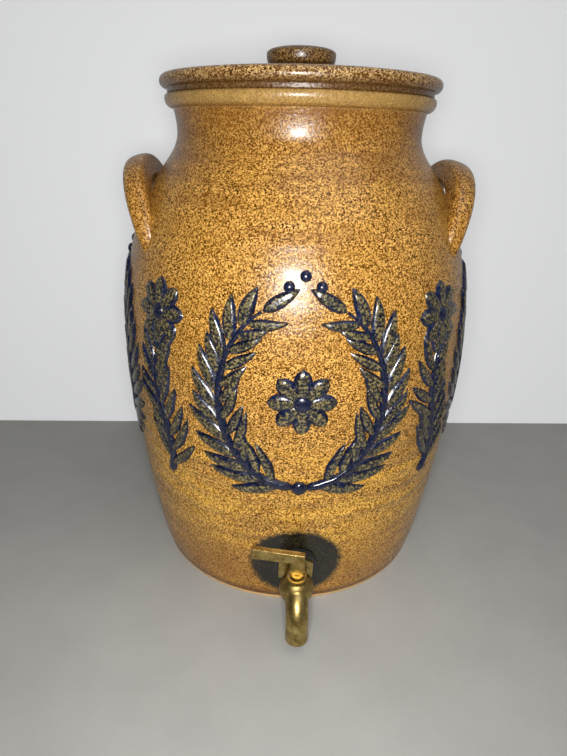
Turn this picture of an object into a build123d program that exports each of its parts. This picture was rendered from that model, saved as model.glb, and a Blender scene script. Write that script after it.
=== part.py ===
"""Salt-glazed stoneware water crock with a lift-off lid and a brass plug tap.

Millimetres, +Z up. The origin is the centre of the flat foot, on the surface that the crock
stands on. The tap points along -Y and the two handles lie along X. The pot is one piece of
clay that is given as two nodes, face to face, so that its collision stays open at the mouth.
"""

from build123d import *
from math import atan2, cos, degrees, pi, radians, sin, sqrt
import os

os.makedirs("parts", exist_ok=True)

# Driving dimensions: the crock.
crock_h = 280.8          # foot to the top of the rim
collar_drop = 42.8       # from the rim's top down to where the pot is parted into belly and neck
base_r = 87.8            # radius at the foot
belly_r = 104.9          # widest radius
belly_z = 140.0          # height of the widest place
neck_r = 69.0            # narrowest radius, under the rim
neck_drop = 18.8         # from the rim's top down to the neck
wall = 8.0               # wall of the belly, across
neck_wall = 6.5          # wall of the neck
floor_t = 10.0           # thickness of the floor
floor_corner_r = 6.0     # inside corner between floor and wall
foot_round = 0.8         # broken edge of the foot
bead_r = 75.7            # rolled rim
bead_h = 7.0
bead_root_out = 1.6      # how far the neck has flared where the bead starts
rim_land_in = 1.8        # from the bead's widest place in to the flat land that the lid sits on
mouth_round = 1.0

# How full the wall's two curves are, as shares of the height or width that each one spans.
foot_flare = 0.65
foot_rise = 0.284
belly_ease = 0.143
shoulder_fullness = 0.785
neck_fullness = 0.152

# Driving dimensions: the lid and its knob.
lid_overhang = 1.7       # past the bead
lid_step_in = 2.2        # the step under the flange, inside the bead's radius
lid_step_h = 2.7
lid_edge_t = 6.8         # rounded edge of the flange
lid_rise = 3.6           # from the edge's top to the knob's seat
lid_plate_t = 7.5        # thickness of the lid's middle
lid_play = 2.0           # between the locating ring and the throat
lid_ring_wall = 6.0
lid_ring_depth = 9.0
knob_r = 19.0
knob_seat_r = 15.0
knob_waist_r = 14.0
knob_waist_h = 3.4
knob_h = 12.0
knob_edge_r = 3.6        # rounded upper edge
knob_under_in = 1.8      # rounded lower edge

# Driving dimensions: the handles, each a strap bent to an arch that stands on the shoulder.
handle_root_y = 44.5     # half of what lies between the centres of the strap's two ends
handle_root_drop = 77.8  # from the rim's top down to them
handle_sunk = 7.9335     # how deep they are pressed into the wall
handle_stand = 21.6      # from the neck out to the centre of the arch's top
handle_top_drop = 37.8   # from the rim's top down to it
handle_swell = 53.0      # how far the legs swell sideways before they close over
strap_top_w = 12.8       # strap at the arch's top: across the arch's plane and within it
strap_top_t = 10.6
strap_root_w = 10.5      # strap at its pressed-down ends
strap_root_t = 19.0
strap_flare = 1.5        # how late the strap widens towards its ends
strap_sections = 11

# Driving dimensions: the raised slip, laid out flat as (way round the belly, height).
slip_t = 1.6             # how far the slip stands out from the wall
wreath_room = 160.0      # least way round the belly for a wreath and the upright sprig beside it
wreath_rise = 1.0        # from the widest place up to the centre of a wreath's ellipse
wreath_wide = 43.0       # half its width
wreath_tall = 51.0       # half its height
wreath_open_angle = 28.0     # left open at the top, to each side
wreath_foot_angle = 4.0      # from the foot to where a branch begins
sprig_low = 58.0         # from the widest place down to the foot of a sprig
sprig_high = 22.0        # and up to the top of its stem
sprig_sway = 14.0
stem_w = 8.0             # stem with the slip that has run into it
leaf_l = 31.0
leaf_w = 9.4
leaf_step = 9.4          # from one leaf to the next on the same side
leaf_first = 9.0
leaf_taper_share = 0.28  # how much shorter the last leaves are
leaf_spread_angle = 38.0     # between a leaf and its stem
leaf_bend_angle = 17.0       # that a leaf turns back along its length
tip_leaf_l = 21.0
leaf_stagger = 2.0       # how far one side's leaves stand ahead along the stem, and the other's behind
leaf_unevenness = 0.08       # the hand's unevenness: share of a leaf's length,
uneven_spread_angle = 5.0    # of its spread
uneven_bend_angle = 9.0      # and of its bend
uneven_phase_angles = (2.3, 1.7, 1.3)    # radians that each of the three moves on from leaf to leaf
rosette_r = 18.0
rosette_rise = 16.0      # a sprig's flower, above its stem
petals = 8
petal_w = 10.8
knot_r = 4.2             # drop of slip that joins a wreath's two branches

# Driving dimensions: the tap's fixing in the wall.
tap_z = 32.5             # height of the hole where it meets the outside of the wall
shank_r = 6.35
shank_end = 2.6          # shank left past the lock nut
hole_clear = 0.9         # radial clearance of the hole in the clay
rubber_clear = 0.3       # radial clearance of the washers
outer_washer_r = 12.7
outer_washer_t = 2.0
inner_washer_r = 11.6
inner_washer_t = 2.6
backing_r = 11.2
backing_t = 1.2
nut_flats = 20.6
nut_t = 6.0
thread_clear = 0.05

# Driving dimensions: the tap's casting.
flange_flats = 19.8      # hexagonal flange that bears on the outer washer
flange_t = 2.6
tap_neck_r = 6.6
chest_r = 9.65           # round chest that holds the plug
chest_out = 16.0         # plug axis, out from the wall along the tap's axis
chest_top = 7.7
chest_foot_r = 6.8
chest_foot = 10.4        # plug axis centre down to the flat under the chest
waterway_r = 3.0
spout_r = 6.2
spout_lead = 2.5         # straight run from the plug's centre before the bend
spout_bend_r = 14.2
spout_drop = 8.0         # straight run after the bend
spout_wall = 1.9
seat_wall = 1.4          # brass left around the plug where the spout's bore begins

# Driving dimensions: the plug and its lever.
plug_top_r = 5.6         # taper, where it leaves the chest's top
plug_low_r = 4.6         # taper, at the chest's foot
plug_clear = 0.05        # radial running clearance
plug_head_r = 5.4
plug_head_h = 2.7        # head above the chest
head_groove_in = 0.8
head_groove_w = 1.0
head_groove_depth = 1.0
boss_r = 3.6
boss_h = 1.6             # boss above the head
stud_r = 2.4
stud_end = 0.8           # stud left past its nut
plug_washer_r = 5.6
plug_washer_t = 1.0
plug_nut_flats = 8.0
plug_nut_t = 3.2
running_gap = 0.1
lever_t = 3.2            # thickness of the flat bar
lever_w = 7.8            # width of the upright
lever_h = 15.8           # upright, boss to top
bar_h = 7.2              # height of the bar
bar_l = 28.6             # far side of the upright to the bar's end
lever_edge = 0.35
closed_angle = 170.0     # direction of the bar when shut, from +X, seen from above
tenon_w = 4.6
tenon_t = 1.8
tenon_h = 7.4
tenon_clear = 0.05
pin_r = 0.8
pin_drop = 1.5           # pin's centre below the chest's top
pin_inset = 0.3          # from the taper's skin to each end of the pin
pin_clear = 0.02

neck_z = crock_h - neck_drop
throat_r = neck_r - neck_wall
wreath_z = belly_z + wreath_rise
wreaths = int(2 * pi * belly_r / wreath_room)


def bezier_point(points, t):
    """Point of a cubic Bezier curve in the (radius, height) plane."""
    weights = ((1 - t) ** 3, 3 * (1 - t) ** 2 * t, 3 * (1 - t) * t ** 2, t ** 3)
    return tuple(sum(w * p[i] for w, p in zip(weights, points)) for i in (0, 1))


def wall_curves(foot, belly, neck):
    """Control points of the lower wall and of the shoulder, for the given three radii."""
    spread = belly - foot
    upper = neck_z - belly_z
    lower_wall = ((foot, 0), (foot + foot_flare * spread, foot_rise * belly_z),
                  (belly, belly_z * (1 - belly_ease)), (belly, belly_z))
    shoulder = ((belly, belly_z), (belly, belly_z + shoulder_fullness * upper),
                (neck, neck_z - neck_fullness * upper), (neck, neck_z))
    return lower_wall, shoulder


OUTER = wall_curves(base_r, belly_r, neck_r)
INNER = wall_curves(base_r - wall, belly_r - wall, throat_r)


def wall_radius(z):
    """Outside radius of the wall at a height below the neck."""
    curve = OUTER[0] if z <= belly_z else OUTER[1]
    low, high = 0.0, 1.0
    for _ in range(50):
        middle = (low + high) / 2
        if bezier_point(curve, middle)[1] < z:
            low = middle
        else:
            high = middle
    return bezier_point(curve, low)[0]


def flat(points):
    """Points of the (radius, height) plane as points of the XZ plane."""
    return [(r, 0, z) for r, z in points]


def turned(edges):
    """Solid of revolution about +Z of a closed outline in the XZ plane."""
    return revolve(make_face(Wire(edges)), Axis.Z)


def line(*points):
    return Polyline(*flat(points)).edges()


# The wall leans out where the tap goes through it. The tap stands square to it.
tap_tilt = atan2(wall_radius(tap_z + shank_r) - wall_radius(tap_z - shank_r), 2 * shank_r)
tap_seat = Plane(origin=(0, -wall_radius(tap_z), tap_z), x_dir=(1, 0, 0),
                 z_dir=(0, -cos(tap_tilt), -sin(tap_tilt)))
wall_through = wall * cos(tap_tilt)
plug_centre = tap_seat.from_local_coords(Vector(0, 0, chest_out))
plug_frame = Plane(origin=plug_centre, x_dir=(1, 0, 0), z_dir=tap_seat.y_dir)


def crock_envelope():
    """The crock's outside, filled."""
    root = (neck_r + bead_root_out, crock_h - bead_h)
    land = bead_r - rim_land_in
    edges = line((0, 0), (base_r, 0))
    edges += [Bezier(*flat(curve)) for curve in OUTER]
    edges += [Bezier(*flat([(neck_r, neck_z), (neck_r, (neck_z + root[1]) / 2), root]))]
    edges += [ThreePointArc(*flat([root, (bead_r, crock_h - bead_h / 3), (land, crock_h)]))]
    edges += line((land, crock_h), (0, crock_h), (0, 0))
    return fillet(turned(edges).edges().group_by(Axis.Z)[0], foot_round)


def crock_cavity():
    """The room inside: belly, shoulder and throat."""
    over = crock_h + mouth_round
    edges = line((0, 0), INNER[0][0])
    edges += [Bezier(*flat(curve)) for curve in INNER]
    edges += line(INNER[1][-1], (throat_r, over), (0, over), (0, 0))
    room = split(turned(edges), Plane.XY.offset(floor_t), keep=Keep.TOP)
    return fillet(room.edges().group_by(Axis.Z)[0], floor_corner_r)


def pot(envelope, cavity):
    """The thrown pot in one piece, with the hole for the tap."""
    hole = tap_seat * Cylinder(shank_r + hole_clear, 4 * wall)
    body = envelope - cavity - hole
    mouth = body.edges().filter_by(GeomType.CIRCLE).group_by(Axis.Z)[-1].sort_by(SortBy.RADIUS)[0]
    return fillet(mouth, mouth_round)


def handle_path():
    """Control points of the strap's centre line, from the leg nearer the tap to the other one."""
    root_z = crock_h - handle_root_drop
    root_x = sqrt((wall_radius(root_z) - handle_sunk) ** 2 - handle_root_y ** 2)
    pull_x = (4 * (neck_r + handle_stand) - root_x) / 3
    pull_z = (4 * (crock_h - handle_top_drop) - root_z) / 3
    near = ((root_x, -handle_root_y, root_z), (pull_x, -handle_swell, pull_z))
    return near + tuple((x, -y, z) for x, y, z in reversed(near))


def handle(envelope):
    """Pulled strap on the +X side, trimmed to the wall that it is stuck to."""
    ends = handle_path()
    path = Bezier(*ends)
    rise = Vector(*ends[1]) - Vector(*ends[0])
    across = Vector(rise.Z, 0, -rise.X).normalized()
    sections = []
    for i in range(strap_sections):
        t = i / (strap_sections - 1)
        share = abs(2 * t - 1) ** strap_flare
        width = strap_top_w + (strap_root_w - strap_top_w) * share
        thickness = strap_top_t + (strap_root_t - strap_top_t) * share
        place = Plane(origin=path @ t, x_dir=across, z_dir=path % t)
        sections.append(place * Ellipse(width / 2, thickness / 2))
    return (loft(sections) - envelope).solids().sort_by(SortBy.VOLUME)[-1]


def on_belly(point):
    """A point of the flat layout, as it is seen square on from the front."""
    around, height = point
    return belly_r * sin(around / belly_r), height


def ahead(point, distance, direction):
    """The point at a distance in a direction given in degrees."""
    turn = radians(direction)
    return point[0] + distance * cos(turn), point[1] + distance * sin(turn)


def blade(root, direction, length, width, bend=0.0):
    """Pointed leaf or petal: two arcs between its root and its tip."""
    middle = ahead(root, length / 2, direction + bend / 4)
    sides = [on_belly(ahead(middle, width / 2, direction + bend / 2 + side)) for side in (90, -90)]
    root, tip = on_belly(root), on_belly(ahead(root, length, direction + bend / 2))
    return make_face(ThreePointArc(root, sides[0], tip).edges() + ThreePointArc(tip, sides[1], root).edges())


def leafy(path, stations=8):
    """Faces of a stem and of the leaves down both its sides."""
    left, right = [], []
    for i in range(stations + 1):
        place, direction = path @ (i / stations), heading(path, i / stations)
        left.append(on_belly(ahead((place.X, place.Y), stem_w / 2, direction + 90)))
        right.append(on_belly(ahead((place.X, place.Y), stem_w / 2, direction - 90)))
    ends = [Line(left[-1], right[-1]), Line(right[0], left[0])]
    phase_l, phase_spread, phase_bend = uneven_phase_angles
    faces = [make_face(Spline(*left).edges() + Spline(*right[::-1]).edges() + [e.edge() for e in ends])]
    for side in (1, -1):
        for i in range(int((path.length - leaf_first - leaf_step / 2) / leaf_step) + 1):
            at = (leaf_first + leaf_stagger * side + i * leaf_step) / path.length
            length = leaf_l * (1 - leaf_taper_share * at) * (1 + leaf_unevenness * sin(phase_l * i + side))
            spread = leaf_spread_angle + uneven_spread_angle * sin(phase_spread * i + 2 * side)
            direction = heading(path, at) + side * spread
            bend = -side * (leaf_bend_angle + uneven_bend_angle * sin(phase_bend * i))
            place = path @ at
            faces.append(blade((place.X, place.Y), direction, length, leaf_w, bend))
    tip = path @ 1
    return faces + [blade((tip.X, tip.Y), heading(path, 1), tip_leaf_l, leaf_w)]


def heading(path, share):
    """Direction of a path in the flat layout, in degrees."""
    along = path % share
    return degrees(atan2(along.Y, along.X))


def rosette(centre):
    turns = [360 * i / petals for i in range(petals)]
    return [blade(centre, turn, rosette_r, petal_w) for turn in turns]


def raised(faces, layer):
    """The layer of slip on the wall, inside the outlines of these faces."""
    outline = faces[0].fuse(*faces[1:])
    return extrude(Plane.XZ * outline, 2 * belly_r) & layer


def slip_layer():
    """All round the wall, as thick as the slip."""
    skin = wall_curves(base_r + slip_t, belly_r + slip_t, neck_r + slip_t)
    edges = [Bezier(*flat(points)) for points in OUTER + skin]
    edges += line(OUTER[0][0], skin[0][0]) + line(OUTER[1][-1], skin[1][-1])
    return turned(edges)


def wreath(layer):
    """Two leafy branches that rise from a knot, open at the top."""
    branch = EllipticalCenterArc((0, wreath_z), wreath_wide, wreath_tall, start_angle=wreath_foot_angle - 90,
                                 arc_size=180 - wreath_foot_angle - wreath_open_angle)
    faces = leafy(branch)
    faces += [mirror(face, Plane.YZ) for face in faces]
    knot = Pos(0, wreath_z - wreath_tall) * Circle(knot_r)
    return raised(faces + knot.faces(), layer)


def sprig(layer):
    """Upright leafy stem with a flower on top."""
    low, high = belly_z - sprig_low, belly_z + sprig_high
    third = (high - low) / 3
    stem = Bezier((0, low), (sprig_sway, low + third), (-sprig_sway, high - third), (0, high))
    return raised(leafy(stem) + rosette((0, high + rosette_rise)), layer)


def lid():
    seat = crock_h
    edge_r, edge_low = bead_r + lid_overhang, seat + lid_step_h
    edge_top, top = edge_low + lid_edge_t, edge_low + lid_edge_t + lid_rise
    half, shoulder_r = lid_edge_t / 2, edge_r - lid_edge_t / 2
    ring_r = throat_r - lid_play
    room_r, room_z = ring_r - lid_ring_wall, top - lid_plate_t
    edges = line((0, room_z), (room_r, room_z), (room_r, seat - lid_ring_depth),
                 (ring_r, seat - lid_ring_depth), (ring_r, seat), (bead_r - lid_step_in, seat),
                 (bead_r - lid_step_in, edge_low), (shoulder_r, edge_low))
    edges += [ThreePointArc(*flat([(shoulder_r, edge_low), (edge_r, edge_low + half),
                                   (shoulder_r, edge_top)]))]
    crown = Bezier(*flat([(shoulder_r, edge_top), ((shoulder_r + knob_seat_r) / 2, top),
                          (knob_seat_r, top)]))
    edges += [crown] + line((knob_seat_r, top), (0, top), (0, room_z))
    return turned(edges), top


def lid_knob(seat_z):
    waist_z, top = seat_z + knob_waist_h, seat_z + knob_h
    under, side = (knob_r - knob_under_in, waist_z), (knob_r, top - knob_edge_r)
    edges = line((0, seat_z), (knob_seat_r, seat_z))
    edges += [Bezier(*flat([(knob_seat_r, seat_z), (knob_waist_r, (seat_z + waist_z) / 2), under]))]
    edges += [Bezier(*flat([under, (knob_r, waist_z), side]))]
    edges += [Bezier(*flat([side, (knob_r, top), (0, top)]))]
    return turned(edges + line((0, top), (0, seat_z)))


def disc(radius, start, end):
    """Cylinder on the tap's axis, between two distances out from the wall."""
    return tap_seat * Pos(0, 0, (start + end) / 2) * Cylinder(radius, end - start)


def hexagon(flats, start, end):
    """Hexagonal prism on the tap's axis, with two flats upright."""
    outline = RegularPolygon(flats / 2, 6, major_radius=False, rotation=30)
    return tap_seat * Pos(0, 0, start) * extrude(outline, end - start)


def spout_path():
    """Centre line of the spout: out of the chest, round the bend and straight down."""
    centre = plug_centre
    out = tap_seat.z_dir
    start = centre + out * spout_lead
    turn = radians(90) - tap_tilt
    hub = start - tap_seat.y_dir * spout_bend_r
    lift = tap_seat.y_dir * (spout_bend_r * cos(turn)) + out * (spout_bend_r * sin(turn))
    half = tap_seat.y_dir * (spout_bend_r * cos(turn / 2)) + out * (spout_bend_r * sin(turn / 2))
    end = hub + lift
    outlet = end - Vector(0, 0, spout_drop)
    bend = ThreePointArc(start, hub + half, end)
    return Wire([Line(centre, start), bend, Line(end, outlet)])


def tube(radius):
    """Round bar along the spout's centre line."""
    section = Plane(origin=plug_centre, x_dir=(1, 0, 0), z_dir=tap_seat.z_dir) * Circle(radius)
    return sweep(section, path=spout_path())


def taper(gap):
    """The plug's cone, from the chest's foot to its top, grown by a clearance."""
    height = chest_foot + chest_top
    middle = (chest_top - chest_foot) / 2
    return plug_frame * Pos(0, 0, middle) * Cone(plug_low_r + gap, plug_top_r + gap, height)


def upright(radius, low, high):
    """Cylinder on the plug's axis, between two heights from the chest's centre."""
    return plug_frame * Pos(0, 0, (low + high) / 2) * Cylinder(radius, high - low)


def tap_body():
    flange_start = outer_washer_t
    shank_inner = -(wall_through + inner_washer_t + backing_t + nut_t + shank_end)
    shell = disc(shank_r, shank_inner, flange_start + flange_t / 2)
    shell += hexagon(flange_flats, flange_start, flange_start + flange_t)
    shell += disc(tap_neck_r, flange_start, chest_out)
    chest = plug_frame * Sphere(chest_r)
    chest -= upright(chest_r, chest_top, chest_r + 1)
    shell += chest + tube(spout_r) + upright(chest_foot_r, -chest_foot, 0)
    seat_r = plug_top_r + seat_wall
    shell -= disc(waterway_r, shank_inner, chest_out + chest_r)
    shell -= tube(spout_r - spout_wall) - upright(seat_r, -chest_foot, chest_top)
    return shell - taper(plug_clear)


def lever_turn():
    """Frame of the lever: X along the bar, Z up the plug's axis."""
    return plug_frame * Rot(0, 0, closed_angle)


def tap_plug():
    head_top = chest_top + plug_head_h
    groove_r = plug_head_r - head_groove_in
    plug = taper(0) + upright(plug_head_r, chest_top - plug_clear, head_top)
    plug -= (upright(groove_r, head_top - head_groove_depth, head_top)
             - upright(groove_r - head_groove_w, head_top - head_groove_depth, head_top))
    plug += upright(boss_r, head_top, head_top + boss_h)
    stud_low = -(chest_foot + running_gap + plug_washer_t + plug_nut_t + stud_end)
    plug += upright(stud_r, stud_low, 0)
    port = lever_turn() * Rot(0, 90, 0) * Cylinder(waterway_r, 4 * plug_top_r)
    slot_top = head_top + boss_h
    slot = Box(tenon_w + 2 * tenon_clear, tenon_t + 2 * tenon_clear, tenon_h + tenon_clear)
    slot = lever_turn() * Pos(0, 0, slot_top - (tenon_h + tenon_clear) / 2) * slot
    return plug - port - slot - cross_pin(pin_r + pin_clear, plug_top_r)


def cross_pin(radius, reach):
    """Cylinder across the lever's tenon, through the plug's axis."""
    place = lever_turn() * Pos(0, 0, chest_top - pin_drop) * Rot(90, 0, 0)
    return place * Cylinder(radius, 2 * reach)


def taper_radius(height):
    share = (height + chest_foot) / (chest_top + chest_foot)
    return plug_low_r + (plug_top_r - plug_low_r) * share


def tap_lever():
    base = chest_top + plug_head_h + boss_h
    top = base + lever_h
    stem = Pos(0, 0, base + lever_h / 2) * Box(lever_w, lever_t, lever_h)
    bar = Pos(bar_l / 2 - lever_w / 2, 0, top - bar_h / 2) * Box(bar_l, lever_t, bar_h)
    lever = fillet((stem + bar).edges(), lever_edge)
    lever += Pos(0, 0, base - tenon_h / 2) * Box(tenon_w, tenon_t, tenon_h)
    return lever_turn() * lever - cross_pin(pin_r + pin_clear, plug_top_r)


def plug_nut():
    low = -(chest_foot + running_gap + plug_washer_t + plug_nut_t)
    outline = RegularPolygon(plug_nut_flats / 2, 6, major_radius=False)
    return (plug_frame * Pos(0, 0, low) * extrude(outline, plug_nut_t)
            - upright(stud_r + thread_clear, low, 0))


envelope = crock_envelope()
cavity = crock_cavity()
whole_pot = pot(envelope, cavity)
collar = Plane.XY.offset(crock_h - collar_drop)
right_handle = handle(envelope)
lid_solid, knob_seat_z = lid()
inside = -wall_through
backing_start = inside - inner_washer_t - backing_t
nut_start = backing_start - nut_t
washer_hole = disc(shank_r + rubber_clear, nut_start, outer_washer_t)
washer_low = -(chest_foot + running_gap + plug_washer_t)

nodes = {
    "crock_body": split(whole_pot, collar, keep=Keep.BOTTOM),
    "crock_neck": split(whole_pot, collar, keep=Keep.TOP),
    "right_handle": right_handle,
    "left_handle": mirror(right_handle, Plane.YZ),
    "lid": lid_solid,
    "lid_knob": lid_knob(knob_seat_z),
    "tap_body": tap_body(),
    "outer_washer": disc(outer_washer_r, -wall, outer_washer_t) - envelope - washer_hole,
    "inner_washer": (disc(inner_washer_r, inside - inner_washer_t, 0) & cavity) - washer_hole,
    "backing_washer": disc(backing_r, backing_start, backing_start + backing_t) - washer_hole,
    "lock_nut": hexagon(nut_flats, nut_start, backing_start)
    - disc(shank_r + thread_clear, nut_start, backing_start),
    "tap_plug": tap_plug(),
    "plug_washer": upright(plug_washer_r, washer_low, washer_low + plug_washer_t)
    - upright(stud_r + thread_clear, washer_low, 0),
    "plug_nut": plug_nut(),
    "tap_lever": tap_lever(),
    "lever_pin": cross_pin(pin_r, taper_radius(chest_top - pin_drop) - pin_inset),
}

layer = slip_layer()
motifs = {
    "wreath": (wreath(layer), 0),
    "wreath_flower": (raised(rosette((0, wreath_z)), layer), 0),
    "sprig": (sprig(layer), 180 / wreaths),
}
for motif, (shape, first_turn) in motifs.items():
    for i in range(wreaths):
        nodes[f"{motif}_{i + 1}"] = Rot(0, 0, first_turn + 360 * i / wreaths) * shape

for name, shape in nodes.items():
    export_step(shape, f"parts/{name}.step")
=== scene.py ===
from math import atan2, cos, pi, radians, sin

import bmesh
import bpy
import numpy as np
from mathutils import Matrix, Vector


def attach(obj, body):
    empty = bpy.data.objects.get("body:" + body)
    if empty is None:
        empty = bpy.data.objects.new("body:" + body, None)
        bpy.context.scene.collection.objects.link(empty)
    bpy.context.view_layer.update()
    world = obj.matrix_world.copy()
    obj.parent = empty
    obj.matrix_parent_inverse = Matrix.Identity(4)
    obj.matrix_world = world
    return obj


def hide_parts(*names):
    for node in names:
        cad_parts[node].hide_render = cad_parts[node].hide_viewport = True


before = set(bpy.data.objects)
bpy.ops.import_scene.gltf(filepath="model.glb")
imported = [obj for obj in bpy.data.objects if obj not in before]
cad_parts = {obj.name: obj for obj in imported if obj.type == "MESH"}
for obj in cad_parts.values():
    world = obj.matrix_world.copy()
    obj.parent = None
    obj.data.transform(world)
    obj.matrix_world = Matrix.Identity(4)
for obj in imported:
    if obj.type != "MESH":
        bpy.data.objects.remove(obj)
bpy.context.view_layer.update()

MM = 0.001

# The crock's wall, as control points (radius, height) in millimetres.
BASE_R, BELLY_R, NECK_R = 87.8, 104.9, 69.0
CROCK_H, BELLY_Z, NECK_Z = 280.8, 140.0, 262.0
WALL, NECK_WALL, FLOOR = 8.0, 6.5, 10.0
BEAD_R, BEAD_H, BEAD_ROOT, LAND_IN = 75.7, 7.0, 1.6, 1.8

# The lid and its knob.
LID_EDGE_R, LID_EDGE_LOW, LID_EDGE_T, LID_TOP = 77.4, 283.5, 6.8, 293.9
KNOB_R, KNOB_H = 19.0, 12.0

# The tap.
TAP_Z = 32.5
PLUG_OUT = 16.0
CHEST_R, CHEST_TOP, CHEST_FOOT, CHEST_FOOT_R = 9.65, 7.7, 10.4, 6.8
CLAY_HOLE_R, SHANK_R, SHANK_ROOT_R, THREAD_PITCH = 7.25, 6.35, 5.85, 1.2
SPOUT_R, SPOUT_BORE, SPOUT_LEAD, SPOUT_BEND, SPOUT_DROP = 6.2, 4.3, 2.5, 14.2, 8.0

# The handles: centre of the strap at its buried ends and at the arch's top, and its two sizes
# there, across the arch's plane and within it.
ROOT_X, ROOT_Y, ROOT_Z = 78.0, 44.5, 203.0
ARCH_X, ARCH_Z, ARCH_SWELL = 90.6, 243.0, 53.0
STRAP_TOP, STRAP_ROOT, STRAP_FLARE = (12.8, 10.6), (10.5, 19.0), 1.5

# The raised slip: wreaths round the belly with an upright sprig between each two.
WREATHS = 4
WREATH_Z, WREATH_WIDE, WREATH_TALL = 141.0, 43.0, 51.0
WREATH_FOOT, WREATH_OPEN = radians(4), radians(28)
SPRIG_LOW, SPRIG_HIGH, SPRIG_SWAY = 82.0, 162.0, 14.0
LEAF_L, LEAF_STEP, LEAF_FIRST, LEAF_TAPER = 31.0, 9.4, 9.0, 0.28
LEAF_SPREAD, LEAF_BEND, TIP_L, TIP_W = 38.0, 17.0, 21.0, 7.5
# How a row of leaves differs with its place: width, added spread, share of the length.
OUTER_ROW, INNER_ROW, SPRIG_ROW = (8.4, 0, 1), (6.2, 12, 0.82), (6.6, 5, 0.96)
# A hand's unevenness down a row: share of the length, spread, bend, share of the height, and
# how fast each wanders from leaf to leaf.
UNEVEN_L, UNEVEN_SPREAD, UNEVEN_BEND, UNEVEN_HIGH = 0.08, 5, 9, 0.15
WANDER_L, WANDER_SPREAD, WANDER_BEND, WANDER_HIGH = 2.3, 1.7, 1.3, 3.1
LEAF_STAGGER = 2
STEM_W, KNOT_R = 5.2, 4.2
# Drops of slip at a wreath's crown: their places and sizes.
CROWN_DROPS, DROP_R, DROP_HIGH = ((-8, 6), (0, 11), (8, 6)), 2.8, 2.0
PETALS, ROSETTE_R, ROSETTE_RISE, PETAL_W = 8, 18.0, 16.0, 10.4


# ---------------------------------------------------------------- handling

def deselect():
    """Object mode, with nothing selected."""
    if bpy.context.object and bpy.context.object.mode != "OBJECT":
        bpy.ops.object.mode_set(mode="OBJECT")
    bpy.ops.object.select_all(action="DESELECT")


def choose(*pieces):
    """Selects these pieces and makes the first one active."""
    deselect()
    for piece in pieces:
        piece.select_set(True)
    bpy.context.view_layer.objects.active = pieces[0]


def added(name):
    """The primitive that was just added, under its own name."""
    piece = bpy.context.object
    piece.name = name
    piece.data.name = name
    return piece


def pick(piece, test):
    """Selects the vertices of a piece in edit mode whose place passes a test."""
    shape = bmesh.from_edit_mesh(piece.data)
    for vert in shape.verts:
        vert.select_set(bool(test(vert.co)))
    shape.select_flush_mode()
    bmesh.update_edit_mesh(piece.data)


def settle(piece):
    """Puts a piece's place into its mesh."""
    choose(piece)
    bpy.ops.object.transform_apply(location=True, rotation=True, scale=True)
    return piece


def join(pieces, name):
    choose(*pieces)
    bpy.ops.object.join()
    return added(name)


def copied(piece):
    """A copy with its own mesh."""
    twin = piece.copy()
    twin.data = piece.data.copy()
    bpy.context.scene.collection.objects.link(twin)
    return twin


def modified(piece, kind, **settings):
    """Adds a modifier and applies it."""
    choose(piece)
    change = piece.modifiers.new(kind.lower(), kind)
    for key, value in settings.items():
        setattr(change, key, value)
    bpy.ops.object.modifier_apply(modifier=change.name)
    return piece


def cut_away(piece, tool):
    """Cuts the tool's shape out of the piece and throws the tool away."""
    modified(piece, "BOOLEAN", operation="DIFFERENCE", object=tool, solver="EXACT")
    bpy.data.objects.remove(tool)
    return piece


def cleaned(piece, angle=None):
    """Merges doubles, turns the faces outwards and shades them smooth up to an angle."""
    choose(piece)
    bpy.ops.object.mode_set(mode="EDIT")
    bpy.ops.mesh.select_all(action="SELECT")
    bpy.ops.mesh.remove_doubles(threshold=0.01 * MM)
    bpy.ops.mesh.normals_make_consistent(inside=False)
    bpy.ops.object.mode_set(mode="OBJECT")
    if angle is None:
        bpy.ops.object.shade_smooth()
    else:
        bpy.ops.object.shade_smooth_by_angle(angle=radians(angle))
    return piece


# ---------------------------------------------------------------- outlines

def curve(points, count):
    """Points along a Bezier curve of any degree, without its first point."""
    found = []
    for step in range(1, count + 1):
        t = step / count
        row = [Vector(p) for p in points]
        while len(row) > 1:
            row = [a.lerp(b, t) for a, b in zip(row, row[1:])]
        found.append(tuple(row[0]))
    return found


def arc(centre, radius, start, end, count):
    """Points along a circle between two angles in degrees."""
    turns = [radians(start + (end - start) * i / count) for i in range(count + 1)]
    return [(centre[0] + radius * cos(a), centre[1] + radius * sin(a)) for a in turns]


def wall_curves(foot, belly, neck):
    spread, upper = belly - foot, NECK_Z - BELLY_Z
    lower = ((foot, 0), (foot + 0.65 * spread, 0.284 * BELLY_Z),
             (belly, 0.857 * BELLY_Z), (belly, BELLY_Z))
    shoulder = ((belly, BELLY_Z), (belly, BELLY_Z + 0.785 * upper),
                (neck, NECK_Z - 0.152 * upper), (neck, NECK_Z))
    return lower, shoulder


OUTSIDE = wall_curves(BASE_R, BELLY_R, NECK_R)
INSIDE = wall_curves(BASE_R - WALL, BELLY_R - WALL, NECK_R - NECK_WALL)


def meridian():
    """Table of arc length, radius and height up the outside, with zero at the belly."""
    line = np.array([OUTSIDE[0][0]] + curve(OUTSIDE[0], 300) + curve(OUTSIDE[1], 400))
    steps = np.hypot(*np.diff(line, axis=0).T)
    run = np.concatenate(([0], np.cumsum(steps)))
    return run - run[300], line[:, 0], line[:, 1]


RUN, RUN_R, RUN_Z = meridian()


def wall_radius(z):
    return float(np.interp(z, RUN_Z, RUN_R))


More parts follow.
